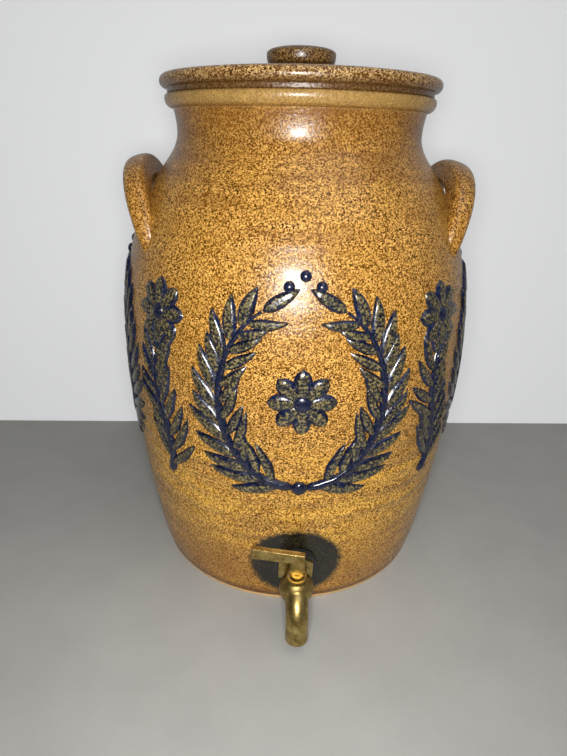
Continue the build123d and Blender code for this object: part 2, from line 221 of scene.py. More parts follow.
def on_wall(turn, run, out):
    """Points on the wall: turn round from the front, run up it, and height above it."""
    r, z = np.interp(run, RUN, RUN_R), np.interp(run, RUN, RUN_Z)
    step = 0.5
    dr = np.interp(run + step, RUN, RUN_R) - np.interp(run - step, RUN, RUN_R)
    dz = np.interp(run + step, RUN, RUN_Z) - np.interp(run - step, RUN, RUN_Z)
    size = np.hypot(dr, dz)
    r, z = r + out * dz / size, z - out * dr / size
    return np.stack([r * np.sin(turn), -r * np.cos(turn), z], axis=-1) * MM


TILT = atan2(wall_radius(TAP_Z + 6.35) - wall_radius(TAP_Z - 6.35), 12.7)
SEAT = Vector((0, -wall_radius(TAP_Z), TAP_Z))
OUT = Vector((0, -cos(TILT), -sin(TILT)))
UP = Vector((0, -sin(TILT), cos(TILT)))
PLUG = SEAT + OUT * PLUG_OUT


# ---------------------------------------------------------------- clay pieces

def thrown(name, outline, steps):
    """An outline, drawn point by point and spun once round the wheel's axis."""
    deselect()
    bpy.ops.mesh.primitive_plane_add(size=MM, location=(outline[0][0] * MM, 0, outline[0][1] * MM))
    piece = settle(added(name))
    bpy.ops.object.mode_set(mode="EDIT")
    bpy.ops.mesh.select_all(action="SELECT")
    bpy.ops.mesh.merge(type="CENTER")
    for here, there in zip(outline, outline[1:]):
        step = ((there[0] - here[0]) * MM, 0, (there[1] - here[1]) * MM)
        bpy.ops.mesh.extrude_vertices_move(TRANSFORM_OT_translate={"value": step})
    bpy.ops.mesh.select_all(action="SELECT")
    bpy.ops.mesh.spin(steps=steps, angle=2 * pi, center=(0, 0, 0), axis=(0, 0, 1))
    bpy.ops.object.mode_set(mode="OBJECT")
    return cleaned(piece, 40)


def throwing_rings(z):
    """How far the potter's finger ridges stand out at a height."""
    low = np.interp(z, (48, 62, 96, 128, 205, 225, 250, 262), (0, 1, 0.9, 0.3, 0.15, 0.35, 0.35, 0))
    return low * (0.30 * sin(z / 1.7 + 0.9 * sin(z / 17)) + 0.12 * sin(z / 0.83))


def crock_outline():
    foot = [(0, 0.6), (BASE_R - 9, 0.6), (BASE_R - 8, 0), (BASE_R - 0.8, 0)]
    foot += arc((BASE_R - 0.8, 0.8), 0.8, -90, -8, 4)[1:]
    wall = [p for p in curve(OUTSIDE[0], 92) + curve(OUTSIDE[1], 96) if p[1] > 1.2]
    wall = [(r + throwing_rings(z), z) for r, z in wall]
    root = (NECK_R + BEAD_ROOT, CROCK_H - BEAD_H)
    neck = curve(((NECK_R, NECK_Z), (NECK_R, (NECK_Z + root[1]) / 2), root), 7)
    bead = curve((root, (BEAD_R - 0.2, root[1] + 0.1), (BEAD_R + 0.3, CROCK_H - 0.4),
                  (BEAD_R - LAND_IN, CROCK_H)), 12)
    throat = NECK_R - NECK_WALL
    mouth = arc((throat + 1, CROCK_H - 1), 1, 90, 180, 4)
    inside = curve(INSIDE[1][::-1], 28) + curve(INSIDE[0][::-1], 26)
    inside = [(throat, NECK_Z)] + [p for p in inside if p[1] > FLOOR + 6]
    low_r = inside[-1][0]
    corner = arc((low_r - 6.4, FLOOR + 6), 6, 0, -90, 5)[1:]
    return foot + wall + neck + bead + mouth + inside + corner + [(40, FLOOR), (0, FLOOR)]


def line_inside(crock):
    """Second material on the faces of the inside, which has its own glaze."""
    crock.data.materials.append(inside_glaze())
    for face in crock.data.polygons:
        x, y, z = face.center / MM
        r = (x * x + y * y) ** 0.5
        skin = float(np.interp(z, RUN_Z, RUN_R)) if z < NECK_Z else NECK_R
        if z > FLOOR - 1 and r < skin - 4:
            face.material_index = 1


def crock():
    piece = thrown("thrown_crock", crock_outline(), 240)
    deselect()
    place = (SEAT - OUT * WALL / 2) * MM
    bpy.ops.mesh.primitive_cylinder_add(vertices=48, radius=CLAY_HOLE_R * MM, depth=30 * MM, location=place,
                                        rotation=(pi / 2 + TILT, 0, 0))
    cut_away(piece, added("drill"))
    choose(piece)
    bpy.ops.object.shade_smooth_by_angle(angle=radians(40))
    piece.data.materials.append(salt_glaze())
    line_inside(piece)
    return piece


def lid():
    seat, throat = CROCK_H, NECK_R - NECK_WALL
    ring = throat - 2
    half, shoulder = LID_EDGE_T / 2, LID_EDGE_R - LID_EDGE_T / 2
    room_z = LID_TOP - 7.5
    low = [(0, room_z), (ring - 10, room_z), (ring - 7, room_z - 1), (ring - 6, room_z - 4)]
    low += [(ring - 6, seat - 8), (ring - 5, seat - 9), (ring - 1, seat - 9), (ring, seat - 8), (ring, seat - 0.4)]
    low += [(ring + 0.4, seat), (BEAD_R - 2.8, seat), (BEAD_R - 2.2, seat + 0.6)]
    low += [(BEAD_R - 2.2, LID_EDGE_LOW - 0.4), (BEAD_R - 1.8, LID_EDGE_LOW)]
    edge = arc((shoulder, LID_EDGE_LOW + half), half, -90, 90, 18)
    crown = curve((edge[-1], ((shoulder + 15) / 2, LID_TOP), (15, LID_TOP)), 40)
    crown = [(r, z + 0.12 * sin(r / 1.25) * min(1, (r - 15) / 10, (74 - r) / 6)) for r, z in crown if r < 73.5]
    return thrown("thrown_lid", low + edge + crown + [(0, LID_TOP)], 192)


def knob():
    top = LID_TOP + KNOB_H
    waist = LID_TOP + 3.4
    under, side = (KNOB_R - 1.8, waist), (KNOB_R, top - 3.6)
    outline = [(0, LID_TOP), (15.4, LID_TOP)]
    outline += curve(((15.4, LID_TOP), (14, (LID_TOP + waist) / 2), under), 8)
    outline += curve((under, (KNOB_R, waist), side), 8)
    outline += curve((side, (KNOB_R, top), (0, top)), 20)
    return thrown("thrown_knob", outline, 96)


def arch_line():
    """The strap's centre line in the arch's own upright plane, and how far that plane leans out."""
    rise = Vector((ARCH_X - ROOT_X, ARCH_Z - ROOT_Z)) * 4 / 3
    high = rise.length
    return ((-ROOT_Y, 0), (-ARCH_SWELL, high), (ARCH_SWELL, high), (ROOT_Y, 0)), atan2(rise.x, rise.y)


def strap_size(t):
    """Half sizes of the strap across the arch's plane and within it."""
    share = abs(2 * t - 1) ** STRAP_FLARE
    return [(top + (root - top) * share) / 2 for top, root in zip(STRAP_TOP, STRAP_ROOT)]


def strap_end(line):
    """The strap's first section: a plane with its corners rounded off."""
    across, within = strap_size(0)
    deselect()
    bpy.ops.mesh.primitive_plane_add(size=2 * MM, location=(0, line[0][0] * MM, 0))
    piece = added("pulled_handle_right")
    piece.scale = (across, within, 1)
    settle(piece)
    bpy.ops.object.mode_set(mode="EDIT")
    bpy.ops.mesh.select_all(action="SELECT")
    bpy.ops.mesh.bevel(offset=0.8 * across * MM, segments=9, affect="VERTICES", profile=0.5)
    return piece


def right_handle():
    """One pulled strap: a rounded section, extruded and turned along the arch."""
    line, lean = arch_line()
    count = 44
    places = [line[0]] + curve(line, count)
    piece = strap_end(line)
    bpy.ops.mesh.select_all(action="SELECT")
    headings = []
    for i in range(count + 1):
        a, b = Vector(places[max(i - 1, 0)]), Vector(places[min(i + 1, count)])
        headings.append(atan2(b[0] - a[0], b[1] - a[1]))
    for i in range(1, count + 1):
        there = Vector((0, *places[i])) * MM
        move = there - Vector((0, *places[i - 1])) * MM
        bpy.ops.mesh.extrude_region_move(TRANSFORM_OT_translate={"value": move})
        bpy.ops.transform.rotate(value=headings[i] - headings[i - 1], orient_axis="X", center_override=there)
        old, new = strap_size((i - 1) / count), strap_size(i / count)
        along = Matrix.Rotation(-headings[i], 3, "X")
        bpy.ops.transform.resize(value=(new[0] / old[0], new[1] / old[1], 1), orient_type="LOCAL",
                                 orient_matrix=along.transposed(), orient_matrix_type="LOCAL",
                                 center_override=there)
    bpy.ops.object.mode_set(mode="OBJECT")
    piece.rotation_euler = (0, lean, 0)
    piece.location = (ROOT_X * MM, 0, ROOT_Z * MM)
    return cleaned(settle(piece))


def mirrored(piece, name):
    twin = copied(piece)
    twin.name = twin.data.name = name
    choose(twin)
    bpy.ops.object.mode_set(mode="EDIT")
    bpy.ops.mesh.select_all(action="SELECT")
    bpy.ops.transform.resize(value=(-1, 1, 1), center_override=(0, 0, 0))
    bpy.ops.object.mode_set(mode="OBJECT")
    return cleaned(twin)


# ---------------------------------------------------------------- the raised slip

def run_at(z):
    """Run up the wall at a height."""
    return float(np.interp(z, RUN_Z, RUN))


def stations(u, v):
    """Length, turn, run and heading along a line drawn on the wall, from its flat layout."""
    length = np.concatenate(([0], np.cumsum(np.hypot(np.diff(u), np.diff(v)))))
    return length, u / np.interp(v, RUN, RUN_R), v, np.arctan2(np.gradient(v), np.gradient(u))


def branch_line():
    """The right half of the front wreath, from its foot up."""
    angles = np.linspace(WREATH_FOOT, pi - WREATH_OPEN, 200)
    return stations(WREATH_WIDE * np.sin(angles), run_at(WREATH_Z) - WREATH_TALL * np.cos(angles))


def sprig_line():
    """Upright stem with a slight sway."""
    third = (SPRIG_HIGH - SPRIG_LOW) / 3
    line = ((0, 0), (SPRIG_SWAY, third), (-SPRIG_SWAY, 2 * third), (0, 3 * third))
    line = np.array([line[0]] + curve(line, 120))
    return stations(line[:, 0], run_at(SPRIG_LOW) + line[:, 1])


def flat_leaf(name, across, along, profile, lift, sink, vein=0.0):
    """A pillowed leaf of unit length and width along +Y, modelled flat."""
    deselect()
    bpy.ops.mesh.primitive_grid_add(x_subdivisions=across, y_subdivisions=along, size=1, location=(0, 0.5, 0))
    leaf = settle(added(name))
    bpy.ops.object.mode_set(mode="EDIT")
    for i in range(across + 1):
        x = i / across - 0.5
        rise = lift * (1 - (2 * x) ** 2) ** 0.6 - sink
        if abs(x) < 0.01:
            rise -= vein
        pick(leaf, lambda co: abs(co.x - x) < 0.01)
        bpy.ops.transform.translate(value=(0, 0, rise))
    for j in range(along + 1):
        y = j / along
        share = max(profile(y), 0.02)
        pick(leaf, lambda co: abs(co.y - y) < 0.2 / along)
        bpy.ops.transform.translate(value=(0, 0, sink))
        bpy.ops.transform.resize(value=(share, 1, min(1, share * 1.7)), center_override=(0, y, 0))
        bpy.ops.transform.translate(value=(0, 0, -sink))
    bpy.ops.object.mode_set(mode="OBJECT")
    bpy.ops.object.shade_smooth()
    return leaf


def laid(piece, start, heading, length, width, bend=0.0, high=1.0):
    """Lays a unit strip on the wall from a start (turn, run), curving as it goes."""
    count = len(piece.data.vertices)
    co = np.empty(count * 3)
    piece.data.vertices.foreach_get("co", co)
    x, y, z = co.reshape(-1, 3).T
    steps = np.linspace(0, 1, 41)
    angles = heading + bend * steps
    px = np.concatenate(([0], np.cumsum(np.cos(angles[:-1]) / 40))) * length
    py = np.concatenate(([0], np.cumsum(np.sin(angles[:-1]) / 40))) * length
    here = heading + bend * y
    u = np.interp(y, steps, px) + np.sin(here) * x * width
    v = np.interp(y, steps, py) - np.cos(here) * x * width
    run = start[1] + v
    turn = start[0] + u / np.interp(run, RUN, RUN_R)
    place_points(piece, on_wall(turn, run, z * high))
    return piece


def place_points(piece, points):
    piece.data.vertices.foreach_set("co", points.astype(np.float32).ravel())
    piece.data.update()


def stem(path, width, finish):
    """Round rope of slip along a path, drawn out thin at both ends."""
    length, turns, runs, heads = path
    deselect()
    bpy.ops.mesh.primitive_grid_add(x_subdivisions=8, y_subdivisions=70, size=1, location=(0, 0.5, 0))
    rope = settle(added("stem"))
    co = np.empty(len(rope.data.vertices) * 3)
    rope.data.vertices.foreach_get("co", co)
    x, y, z = co.reshape(-1, 3).T
    at = y * length[-1]
    thin = np.interp(y, (0, 0.04, 0.6, 1), (0.5, 1, 0.9, 0.35))
    wide = width * thin * (1 + 0.12 * np.sin(y * 31) + 0.07 * np.sin(y * 83))
    head = np.interp(at, length, heads)
    run = np.interp(at, length, runs) - np.cos(head) * x * wide
    turn = np.interp(at, length, turns) + np.sin(head) * x * wide / np.interp(run, RUN, RUN_R)
    high = 0.52 * width * thin * (1 - (2 * x) ** 2) ** 0.5 - 0.25
    place_points(rope, on_wall(turn, run, high))
    rope.data.materials.append(finish)
    return rope


def leaves_along(leaf, path, left_row, right_row):
    """Pointed leaves down both sides of a stem and one at its tip."""
    length, turns, runs, heads = path
    blades = []
    for side, (width, wider, share) in ((1, left_row), (-1, right_row)):
        for i in range(int((length[-1] - LEAF_FIRST - LEAF_STEP / 2) / LEAF_STEP) + 1):
            at = LEAF_FIRST + LEAF_STAGGER * side + i * LEAF_STEP
            place = (np.interp(at, length, turns), np.interp(at, length, runs))
            size = share * LEAF_L * (1 - LEAF_TAPER * at / length[-1])
            size *= 1 + UNEVEN_L * sin(WANDER_L * i + side)
            spread = side * radians(LEAF_SPREAD + wider + UNEVEN_SPREAD * sin(WANDER_SPREAD * i + 2 * side))
            bend = -side * radians(LEAF_BEND + UNEVEN_BEND * sin(WANDER_BEND * i))
            blades.append(laid(copied(leaf), place, np.interp(at, length, heads) + spread, size, width, bend,
                               1 + UNEVEN_HIGH * sin(WANDER_HIGH * i)))
    return blades + [laid(copied(leaf), (turns[-1], runs[-1]), heads[-1], TIP_L, TIP_W)]


def rosette(petal, seed, run, seed_r):
    """Eight petals round a domed middle, at the front."""
    petals = [laid(copied(petal), (0, run), 2 * pi * i / PETALS, ROSETTE_R, PETAL_W) for i in range(PETALS)]
    return petals + [dome_on_wall(copied(seed), (0, run), seed_r, 2.4)]


def dome_on_wall(seed, place, radius, high):
    """A drop of slip, flattened on to the wall."""
    co = np.array([v.co for v in seed.data.vertices])
    run = place[1] + co[:, 1] * radius
    turn = place[0] + co[:, 0] * radius / np.interp(run, RUN, RUN_R)
    place_points(seed, on_wall(turn, run, co[:, 2] * high + 0.6))
    return seed


def wreath(leaf, seed, rope):
    """Two leafy branches that rise from a knot, with three drops between their tips."""
    line = branch_line()
    right = join([stem(line, STEM_W, rope)] + leaves_along(leaf, line, INNER_ROW, OUTER_ROW), "branch")
    left = mirrored(right, "branch_left")
    foot, crown = run_at(WREATH_Z) - WREATH_TALL, run_at(WREATH_Z) + WREATH_TALL
    drops = [dome_on_wall(copied(seed), (0, foot), KNOT_R, 2.6)]
    for x, y in CROWN_DROPS:
        drops.append(dome_on_wall(copied(seed), (x / BELLY_R, crown + y), DROP_R, DROP_HIGH))
    return cleaned(join([right, left] + drops, "slip_wreath"))


def sprig(leaf, petal, seed, rope):
    """Upright leafy stem with a flower on top."""
    parts = [stem(sprig_line(), STEM_W, rope)] + leaves_along(leaf, sprig_line(), SPRIG_ROW, SPRIG_ROW)
    parts += rosette(petal, seed, run_at(SPRIG_HIGH) + ROSETTE_RISE, 4.4)
    return cleaned(join(parts, "slip_sprig"))


def round_the_belly(master, node, first_turn):
    """Copies of a front motif at even turns, each in place of its own CAD node."""
    for i in range(WREATHS):
        piece = copied(master)
        piece.name = piece.data.name = f"{master.name}_{i + 1}"
        piece.rotation_euler = (0, 0, first_turn + 2 * pi * i / WREATHS)
        settle(piece)
        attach(piece, "crock")
        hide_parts(f"{node}_{i + 1}")
    bpy.data.objects.remove(master)


def leaf_shape(y):
    return sin(pi * min(1, y ** 0.78)) ** 0.75 if 0 < y < 1 else 0


def petal_shape(y):
    return sin(pi * min(1, y ** 1.35)) ** 0.62 if 0 < y < 1 else 0


def seed_master():
    deselect()
    bpy.ops.mesh.primitive_uv_sphere_add(segments=20, ring_count=10, radius=1)
    return added("seed")


def raised_slip():
    """Wreaths, their flowers and the sprigs, all round the belly."""
    rope, blade = cobalt_rope(), cobalt_leaf()
    leaf = flat_leaf("leaf", 8, 10, leaf_shape, 2.3, 0.35, 0.35)
    petal = flat_leaf("petal", 6, 8, petal_shape, 2.3, 0.35, 0.3)
    seed = seed_master()
    for master, finish in ((leaf, blade), (petal, blade), (seed, rope)):
        master.data.materials.append(finish)
    flower = join(rosette(petal, seed, run_at(WREATH_Z), 4.8), "slip_flower")
    round_the_belly(wreath(leaf, seed, rope), "wreath", 0)
    round_the_belly(cleaned(flower), "wreath_flower", 0)
    round_the_belly(sprig(leaf, petal, seed, rope), "sprig", pi / WREATHS)
    for master in (leaf, petal, seed):
        bpy.data.objects.remove(master)


# ---------------------------------------------------------------- the tap

def spout(name, radius, bottom):
    """Round bar out of the chest, round the bend and straight down."""
    turn = pi / 2 - TILT
    hub = PLUG + OUT * SPOUT_LEAD - UP * SPOUT_BEND
    deselect()
    bpy.ops.mesh.primitive_circle_add(vertices=48, radius=radius * MM, fill_type="NGON", location=PLUG * MM,
                                      rotation=(pi / 2 + TILT, 0, 0))
    piece = settle(added(name))
    bpy.ops.object.mode_set(mode="EDIT")
    bpy.ops.mesh.select_all(action="SELECT")
    bpy.ops.mesh.extrude_region_move(TRANSFORM_OT_translate={"value": OUT * SPOUT_LEAD * MM})
    bpy.ops.mesh.spin(steps=20, angle=turn, center=hub * MM, axis=(-1, 0, 0))
    bpy.ops.mesh.extrude_region_move(TRANSFORM_OT_translate={"value": (0, 0, -(SPOUT_DROP + bottom) * MM)})
    bpy.ops.object.mode_set(mode="OBJECT")
    return cleaned(piece)


def casting():
    """Chest, neck and spout melted together, then cut flat and bored."""
    square = (pi / 2 + TILT, 0, 0)
    upright = (TILT, 0, 0)
    parts = [spout("spout", SPOUT_R, 0)]
    deselect()
    bpy.ops.mesh.primitive_uv_sphere_add(segments=64, ring_count=32, radius=CHEST_R * MM, location=PLUG * MM,
                                         rotation=upright)
    parts.append(settle(added("chest")))
    deselect()
    bpy.ops.mesh.primitive_cylinder_add(vertices=64, radius=6.6 * MM, depth=12 * MM,
                                        location=(SEAT + OUT * 8.6) * MM, rotation=square)
    parts.append(settle(added("neck")))
    deselect()
    bpy.ops.mesh.primitive_cylinder_add(vertices=64, radius=CHEST_FOOT_R * MM, depth=CHEST_FOOT * MM,
                                        location=(PLUG - UP * CHEST_FOOT / 2) * MM, rotation=upright)
    parts.append(settle(added("chest_foot")))
    piece = join(parts, "cast_tap")
    modified(piece, "REMESH", mode="VOXEL", voxel_size=0.42 * MM)
    modified(piece, "SMOOTH", factor=0.5, iterations=7)
    choose(piece)
    bpy.ops.object.mode_set(mode="EDIT")
    bpy.ops.mesh.select_all(action="SELECT")
    bpy.ops.mesh.bisect(plane_co=(PLUG + UP * CHEST_TOP) * MM, plane_no=UP, use_fill=True, clear_outer=True)
    bpy.ops.object.mode_set(mode="OBJECT")
    deselect()
    bpy.ops.mesh.primitive_cone_add(vertices=64, radius1=4.65 * MM, radius2=5.65 * MM,
                                    depth=18.5 * MM, location=(PLUG - UP * 1.35) * MM, rotation=upright)
    cut_away(piece, added("reamer"))
    cut_away(piece, spout("spout_bore", SPOUT_BORE, 2))
    parts = [piece, hexagon("flange", 19.8, 2.0, 4.6), shank()]
    return join(parts, "cast_tap")


def hexagon(name, flats, start, end):
    """Hexagonal flange with two flats upright and its corners turned off."""
    deselect()
    bpy.ops.mesh.primitive_cylinder_add(vertices=6, radius=flats / 2 / cos(pi / 6) * MM, depth=(end - start) * MM,
                                        location=(SEAT + OUT * (start + end) / 2) * MM,
                                        rotation=(pi / 2 + TILT, 0, 0))
    piece = settle(added(name))
    return modified(piece, "BEVEL", width=0.45 * MM, segments=3, limit_method="ANGLE")


def shank():
    """Shank through the wall, with a ring for each turn of its thread."""
    start, end = -20.25, 3.0
    outline = [(0, start), (5.7, start), (SHANK_R, start + 0.7)]
    z = start + 0.7
    while z < end - 1:
        outline += [(SHANK_R, z + 0.2), (SHANK_ROOT_R, z + 0.6), (SHANK_ROOT_R, z + 0.8),
                    (SHANK_R, z + THREAD_PITCH)]
        z += THREAD_PITCH
    outline += [(SHANK_R, end), (0, end)]
    piece = thrown("shank", outline, 40)
    piece.rotation_euler = (pi / 2 + TILT, 0, 0)
    piece.location = SEAT * MM
    return settle(piece)


# ---------------------------------------------------------------- finishes

def new_finish(name):
    finish = bpy.data.materials.new(name)
    finish.use_nodes = True
    return finish, finish.node_tree, finish.node_tree.nodes["Principled BSDF"]


def step(tree, kind, inputs=None, **settings):
    """Adds one node, with values or links for its inputs."""
    made = tree.nodes.new("ShaderNode" + kind)
    for key, value in settings.items():
        setattr(made, key, value)
    for socket, value in (inputs or {}).items():
        if isinstance(value, bpy.types.NodeSocket):
            tree.links.new(value, made.inputs[socket])
        else:
            made.inputs[socket].default_value = value
    return made


def place_of(tree, stretch=(1, 1, 1)):
    """Object coordinates, stretched."""
    where = step(tree, "TexCoord").outputs["Object"]
    return step(tree, "Mapping", {"Vector": where, "Scale": stretch}).outputs["Vector"]


def grain(tree, size_mm, detail=3.0, rough=0.55, stretch=(1, 1, 1), where=None):
    """Noise with lumps of about this size."""
    vector = where or place_of(tree, stretch)
    return step(tree, "TexNoise", {"Vector": vector, "Scale": 1 / (size_mm * MM), "Detail": detail,
                                   "Roughness": rough}).outputs["Fac"]


def ramp(tree, fac, *stops):
    """Colour ramp from (position, colour) stops."""
    made = step(tree, "ValToRGB", {"Fac": fac})
    marks = made.color_ramp.elements
    while len(marks) < len(stops):
        marks.new(0.5)
    for mark, (position, colour) in zip(marks, stops):
        mark.position = position
        mark.color = (*colour, 1) if hasattr(colour, "__len__") else (colour, colour, colour, 1)
    return made.outputs["Color"]


def mix(tree, fac, a, b, how="MIX"):
    made = tree.nodes.new("ShaderNodeMix")
    made.data_type = "RGBA"
    made.blend_type = how
    for socket, value in ((made.inputs[0], fac), (made.inputs[6], a), (made.inputs[7], b)):
        if isinstance(value, bpy.types.NodeSocket):
            tree.links.new(value, socket)
        elif hasattr(value, "__len__"):
            socket.default_value = (*value, 1)
        else:
            socket.default_value = value
    return made.outputs[2]


def maths(tree, how, a, b=0.0):
    made = tree.nodes.new("ShaderNodeMath")
    made.operation = how
    for socket, value in zip(made.inputs, (a, b)):
        if isinstance(value, bpy.types.NodeSocket):
            tree.links.new(value, socket)
        else:
            socket.default_value = value
    return made.outputs[0]


def ranged(tree, value, low, high, to_low=0.0, to_high=1.0):
    return step(tree, "MapRange", {"Value": value, "From Min": low, "From Max": high, "To Min": to_low,
                                   "To Max": to_high}).outputs["Result"]


def bumped(tree, shader, height, distance_mm, strength=1.0, normal=None):
    inputs = {"Height": height, "Distance": distance_mm * MM, "Strength": strength}
    if normal:
        inputs["Normal"] = normal
    made = step(tree, "Bump", inputs)
    tree.links.new(made.outputs["Normal"], shader.inputs["Normal"])
    return made.outputs["Normal"]


def wet_look(shader, coat=0.16, coat_rough=0.12):
    shader.inputs["Coat Weight"].default_value = coat
    shader.inputs["Coat Roughness"].default_value = coat_rough


def pepper(tree, size_mm):
    """A chance value for each grain of about this size."""
    grains = step(tree, "TexVoronoi", {"Vector": place_of(tree), "Scale": 1 / (size_mm * MM)})
    return step(tree, "SeparateColor", {"Color": grains.outputs["Color"]}).outputs["Red"]


def speckled_clay(tree, dark, middle, light):
    """Salt glaze: fine dark and pale speckle over slower drifts of colour."""
    grains = maths(tree, "MULTIPLY", maths(tree, "SUBTRACT", pepper(tree, 0.62), 0.5), 0.26)
    fine = maths(tree, "ADD", grain(tree, 0.8, 2, 0.6), grains)
    speckle = ramp(tree, fine, (0.35, dark), (0.49, middle), (0.65, light))
    drift = grain(tree, 13, 3, 0.55, (0.55, 0.55, 1.7))
    return fine, mix(tree, ranged(tree, drift, 0.34, 0.66, 0, 0.3), speckle, middle)


def orange_peel(tree, shader, fine):
    """Fine dimpled skin of a salt glaze."""
    peel = grain(tree, 1.9, 2, 0.5)
    return bumped(tree, shader, maths(tree, "ADD", peel, maths(tree, "MULTIPLY", fine, 0.8)), 0.28, 0.6)


def salt_glaze():
    finish, tree, shader = new_finish("salt_glaze")
    fine, clay = speckled_clay(tree, (0.036, 0.010, 0.0015), (0.315, 0.136, 0.012), (0.88, 0.50, 0.125))
    height = step(tree, "SeparateXYZ", {"Vector": place_of(tree)}).outputs["Z"]
    wander = maths(tree, "MULTIPLY", maths(tree, "SUBTRACT", grain(tree, 30, 3, 0.6), 0.5), 0.05)
    level = maths(tree, "ADD", height, wander)
    bands = grain(tree, 9, 3, 0.6, (0.16, 0.16, 1.2))
    gold = maths(tree, "MULTIPLY", ranged(tree, bands, 0.44, 0.56, 0.15, 0.9), ranged(tree, level, 0.125, 0.095))
    golden = ramp(tree, fine, (0.33, (0.08, 0.026, 0.002)), (0.47, (0.48, 0.205, 0.010)), (0.62, (1.0, 0.60, 0.11)))
    clay = mix(tree, gold, clay, golden)
    brown = maths(tree, "MULTIPLY", ranged(tree, bands, 0.50, 0.40, 0, 0.5), ranged(tree, level, 0.19, 0.24))
    clay = mix(tree, brown, clay, (0.19, 0.070, 0.011))
    under_rim = ranged(tree, level, 0.240, 0.268, 0, 0.5)
    clay = mix(tree, under_rim, clay, (0.19, 0.070, 0.009))
    low = ranged(tree, level, 0.055, 0.005, 0, 0.55)
    clay = mix(tree, low, clay, (0.34, 0.115, 0.004))
    rim = ranged(tree, maths(tree, "ADD", height, maths(tree, "MULTIPLY", wander, 0.05)), 0.2725, 0.2755)
    clay = mix(tree, maths(tree, "MULTIPLY", rim, 0.4), clay, (0.52, 0.36, 0.125))
    clay = mix(tree, painted_disc(tree), clay, painted_blue(tree))
    # Darker towards the bottom: a dark brown band a few millimetres above the pale foot.
    dark_band_above_foot = maths(tree, "MULTIPLY", ranged(tree, height, 0.0085, 0.0045), 0.75)
    clay = mix(tree, dark_band_above_foot, clay, (0.10, 0.032, 0.003))
    foot = ranged(tree, height, 0.0032, 0.0022)
    clay = mix(tree, foot, clay, (0.90, 0.58, 0.24))
    tree.links.new(clay, shader.inputs["Base Color"])
    shine = maths(tree, "ADD", ranged(tree, fine, 0.35, 0.65, 0.24, 0.34), maths(tree, "MULTIPLY", foot, 0.5))
    tree.links.new(shine, shader.inputs["Roughness"])
    wet_look(shader)
    orange_peel(tree, shader, fine)
    return finish


def painted_disc(tree):
    """One inside the blue-black disc that is brushed round the tap's hole."""
    where = step(tree, "TexCoord").outputs["Object"]
    from_seat = step(tree, "VectorMath", {0: where, 1: SEAT * MM}, operation="SUBTRACT").outputs["Vector"]
    across = step(tree, "VectorMath", {0: from_seat, 1: OUT}, operation="CROSS_PRODUCT").outputs["Vector"]
    far = step(tree, "VectorMath", {0: across}, operation="LENGTH").outputs["Value"]
    rough_edge = maths(tree, "MULTIPLY", grain(tree, 4, 4, 0.6), 0.006)
    inside = ranged(tree, maths(tree, "ADD", far, rough_edge), 0.0315, 0.0275)
    front = maths(tree, "LESS_THAN", step(tree, "SeparateXYZ", {"Vector": where}).outputs["Y"], 0.0)
    return maths(tree, "MULTIPLY", inside, front)


def painted_blue(tree):
    return ramp(tree, grain(tree, 1.5, 4, 0.65), (0.38, (0.004, 0.004, 0.004)), (0.52, (0.011, 0.010, 0.005)),
                (0.66, (0.050, 0.036, 0.010)))


def plain_glaze(name, dark, middle, light, painted_shade_low=0.0, painted_shade_high=0.001):
    """The same salt glaze on the pieces that carry no decoration, with painted shade darkening it below a height.
    """
    finish, tree, shader = new_finish(name)
    fine, clay = speckled_clay(tree, dark, middle, light)
    height = step(tree, "SeparateXYZ", {"Vector": place_of(tree)}).outputs["Z"]
    # Painted shade: the glaze goes towards near-black brown below a height, darkest at the lower height, as on the
    # lid flange's underside and the seat below it.
    painted_shade = ranged(tree, height, painted_shade_high, painted_shade_low, 0, 0.85)
    clay = mix(tree, painted_shade, clay, (0.075, 0.028, 0.005))
    tree.links.new(clay, shader.inputs["Base Color"])
    tree.links.new(ranged(tree, fine, 0.35, 0.65, 0.24, 0.34), shader.inputs["Roughness"])
    wet_look(shader)
    orange_peel(tree, shader, fine)
    return finish


def inside_glaze():
    """Brown slip glaze of the inside."""
    finish, tree, shader = new_finish("inside_glaze")
    flow = grain(tree, 9, 3, 0.6, (1, 1, 0.4))
    tree.links.new(ramp(tree, flow, (0.35, (0.075, 0.03, 0.012)), (0.65, (0.16, 0.07, 0.025))),
                   shader.inputs["Base Color"])
    shader.inputs["Roughness"].default_value = 0.25
    bumped(tree, shader, flow, 0.2, 0.5)
    return finish


def cobalt_leaf():
    """Slip leaf: deep blue pooled along its edges, thin and speckled olive on its crown."""
    finish, tree, shader = new_finish("cobalt_leaf")
    uv = step(tree, "SeparateXYZ", {"Vector": step(tree, "TexCoord").outputs["UV"]})
    across = maths(tree, "ABSOLUTE", maths(tree, "SUBTRACT", uv.outputs["X"], 0.5))
    tip = maths(tree, "ABSOLUTE", maths(tree, "SUBTRACT", uv.outputs["Y"], 0.5))
    crown = maths(tree, "SUBTRACT", ranged(tree, across, 0.36, 0.16), ranged(tree, across, 0.06, 0.0, 0, 0.6))
    crown = maths(tree, "MULTIPLY", crown, ranged(tree, tip, 0.48, 0.36))
    fine = grain(tree, 1.3, 3, 0.6)
    worn = maths(tree, "ADD", crown, maths(tree, "MULTIPLY", maths(tree, "SUBTRACT", fine, 0.5), 2.4))
    top = ramp(tree, fine, (0.40, (0.012, 0.013, 0.012)), (0.50, (0.055, 0.048, 0.022)), (0.62, (0.26, 0.20, 0.08)))
    pool = ramp(tree, grain(tree, 6, 2, 0.5), (0.35, (0.0015, 0.003, 0.013)), (0.65, (0.004, 0.010, 0.045)))
    tree.links.new(mix(tree, ranged(tree, worn, 0.25, 0.95), pool, top), shader.inputs["Base Color"])
    tree.links.new(ranged(tree, fine, 0.35, 0.65, 0.22, 0.34), shader.inputs["Roughness"])
    wet_look(shader, 0.36, 0.1)
    bumped(tree, shader, grain(tree, 2.2, 2, 0.5), 0.3, 0.6)
    return finish


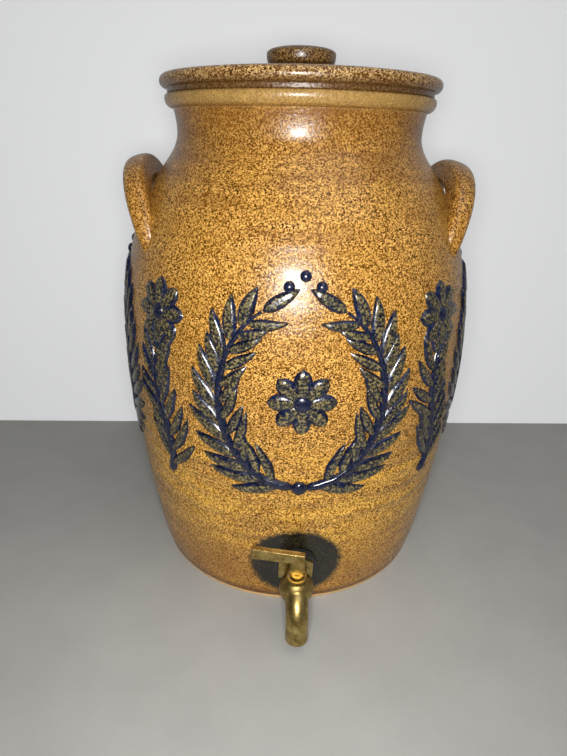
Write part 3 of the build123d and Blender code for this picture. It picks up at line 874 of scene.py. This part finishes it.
def cobalt_rope():
    finish, tree, shader = new_finish("cobalt_rope")
    fine = grain(tree, 1.4, 3, 0.6)
    pool = ramp(tree, fine, (0.34, (0.0015, 0.0025, 0.010)), (0.54, (0.005, 0.010, 0.040)),
                (0.70, (0.05, 0.042, 0.035)))
    tree.links.new(pool, shader.inputs["Base Color"])
    shader.inputs["Roughness"].default_value = 0.24
    wet_look(shader, 0.36, 0.1)
    bumped(tree, shader, grain(tree, 2.4, 2, 0.5), 0.3, 0.5)
    return finish


def aged_brass(name="aged_brass", worn=0.0):
    finish, tree, shader = new_finish(name)
    cloud = grain(tree, 5, 4, 0.65)
    spots = grain(tree, 1.1, 3, 0.6)
    metal = ramp(tree, cloud, (0.32, (0.20, 0.135, 0.040)), (0.5, (0.42, 0.30, 0.098)), (0.68, (0.60, 0.45, 0.18)))
    metal = mix(tree, ranged(tree, spots, 0.40, 0.30), metal, (0.07, 0.045, 0.02))
    tree.links.new(metal, shader.inputs["Base Color"])
    shader.inputs["Metallic"].default_value = 1.0
    tree.links.new(ranged(tree, cloud, 0.3, 0.7, 0.46 - worn, 0.28 - worn), shader.inputs["Roughness"])
    bumped(tree, shader, maths(tree, "ADD", cloud, spots), 0.06, 0.5)
    return finish


def black_rubber():
    finish, tree, shader = new_finish("black_rubber")
    bloom = grain(tree, 2, 3, 0.6)
    tree.links.new(ramp(tree, bloom, (0.3, (0.012, 0.012, 0.012)), (0.7, (0.035, 0.034, 0.032))),
                   shader.inputs["Base Color"])
    shader.inputs["Roughness"].default_value = 0.65
    bumped(tree, shader, bloom, 0.05, 0.4)
    return finish


def plain_steel():
    finish, tree, shader = new_finish("plain_steel")
    brushed = grain(tree, 0.6, 2, 0.5, (1, 1, 12))
    tree.links.new(ramp(tree, brushed, (0.3, (0.42, 0.42, 0.42)), (0.7, (0.6, 0.6, 0.6))),
                   shader.inputs["Base Color"])
    shader.inputs["Metallic"].default_value = 1.0
    shader.inputs["Roughness"].default_value = 0.35
    bumped(tree, shader, brushed, 0.02, 0.3)
    return finish


def finish_cad_node(node, finish):
    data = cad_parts[node].data
    data.materials.clear()
    data.materials.append(finish)


# ---------------------------------------------------------------- the stage

def table_and_wall():
    deselect()
    bpy.ops.mesh.primitive_plane_add(size=4, location=(0, 0, 0))
    floor = added("floor")
    finish, tree, shader = new_finish("table_top")
    cloud = grain(tree, 40, 3, 0.6)
    tree.links.new(ramp(tree, cloud, (0.3, (0.41, 0.405, 0.385)), (0.7, (0.45, 0.445, 0.42))),
                   shader.inputs["Base Color"])
    shader.inputs["Roughness"].default_value = 0.6
    bumped(tree, shader, grain(tree, 1.8, 2, 0.5), 0.2, 0.5)
    floor.data.materials.append(finish)
    deselect()
    bpy.ops.mesh.primitive_plane_add(size=4, location=(0, 0.145, 2), rotation=(pi / 2, 0, 0))
    wall = added("backdrop")
    wall.data.materials.append(one_sided_white())


def one_sided_white():
    """White in front, clear from behind, glowing for the camera and dimly for gloss."""
    finish, tree, shader = new_finish("backdrop_white")
    shader.inputs["Base Color"].default_value = (0.55, 0.555, 0.565, 1)
    shader.inputs["Roughness"].default_value = 0.8
    seen = step(tree, "LightPath")
    seen = maths(tree, "ADD", seen.outputs["Is Camera Ray"],
                 maths(tree, "MULTIPLY", seen.outputs["Is Glossy Ray"], 0.25))
    shader.inputs["Emission Color"].default_value = (0.98, 0.99, 1.0, 1)
    tree.links.new(maths(tree, "MULTIPLY", seen, 0.38), shader.inputs["Emission Strength"])
    clear = step(tree, "BsdfTransparent")
    back = step(tree, "NewGeometry").outputs["Backfacing"]
    blend = step(tree, "MixShader", {0: back})
    tree.links.new(shader.outputs[0], blend.inputs[1])
    tree.links.new(clear.outputs[0], blend.inputs[2])
    tree.links.new(blend.outputs[0], tree.nodes["Material Output"].inputs["Surface"])
    return finish


def lamp(name, place, aim, size, power):
    bpy.ops.object.light_add(type="AREA", location=place)
    light = bpy.context.object
    light.name = name
    light.data.size = size
    light.data.energy = power
    light.rotation_euler = (Vector(aim) - Vector(place)).to_track_quat("-Z", "Y").to_euler()
    return light


def lights():
    deselect()
    lamp("flash", (-0.022, -0.375, 0.262), (0, 0, 0.14), 0.07, 1.35)
    lamp("ceiling", (0.35, -0.55, 1.5), (0, 0, 0.1), 1.2, 5)
    lamp("side_fill", (1.2, -0.4, 0.6), (0, 0, 0.15), 0.8, 0.5)
    world = bpy.data.worlds.new("room")
    bpy.context.scene.world = world
    world.use_nodes = True
    back = world.node_tree.nodes["Background"]
    back.inputs["Color"].default_value = (1.0, 0.98, 0.95, 1)
    back.inputs["Strength"].default_value = 0.06


def camera():
    deselect()
    bpy.ops.object.camera_add(location=(-0.0183, -0.3551, 0.2621))
    eye = bpy.context.object
    turn = Matrix.Rotation(radians(-2), 3, "Z") @ Matrix.Rotation(radians(66.77), 3, "X")
    turn = turn @ Matrix.Rotation(radians(1.27), 3, "Z")
    eye.rotation_euler = turn.to_euler()
    eye.data.sensor_width = 36
    eye.data.lens = 27.05
    bpy.context.scene.camera = eye


# ---------------------------------------------------------------- everything

def clay_pieces():
    pot = crock()
    body = plain_glaze("handle_glaze", (0.034, 0.010, 0.0015), (0.29, 0.116, 0.010), (0.80, 0.45, 0.11))
    # The lid's glaze carries painted shade from the top of its flange downwards, darkest at the flange's lower edge
    # and on the seat under it.
    cover = plain_glaze("lid_glaze", (0.028, 0.009, 0.002), (0.27, 0.112, 0.016), (1.0, 0.70, 0.30),
                        LID_EDGE_LOW * MM, (LID_EDGE_LOW + LID_EDGE_T) * MM)
    dark = plain_glaze("knob_glaze", (0.014, 0.005, 0.002), (0.10, 0.042, 0.008), (0.48, 0.29, 0.10))
    right = right_handle()
    left = mirrored(right, "pulled_handle_left")
    top, button = lid(), knob()
    for piece, finish in ((right, body), (left, body), (top, cover), (button, dark)):
        piece.data.materials.append(finish)
    for piece, group, *nodes in ((pot, "crock", "crock_body", "crock_neck"), (right, "crock", "right_handle"),
                                 (left, "crock", "left_handle"), (top, "cover", "lid"),
                                 (button, "cover", "lid_knob")):
        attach(piece, group)
        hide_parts(*nodes)


def metal_pieces():
    brass, polished = aged_brass(), aged_brass("rubbed_brass", 0.06)
    tap = cleaned(casting(), 40)
    tap.data.validate()
    tap.data.materials.clear()
    tap.data.materials.append(brass)
    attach(tap, "crock")
    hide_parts("tap_body")
    for node in ("lock_nut", "tap_plug", "plug_washer", "plug_nut"):
        finish_cad_node(node, brass)
    finish_cad_node("tap_lever", polished)
    for node in ("outer_washer", "inner_washer"):
        finish_cad_node(node, black_rubber())
    for node in ("backing_washer", "lever_pin"):
        finish_cad_node(node, plain_steel())


clay_pieces()
raised_slip()
metal_pieces()
table_and_wall()
lights()
camera()
bpy.context.scene.view_settings.view_transform = "Standard"
deselect()
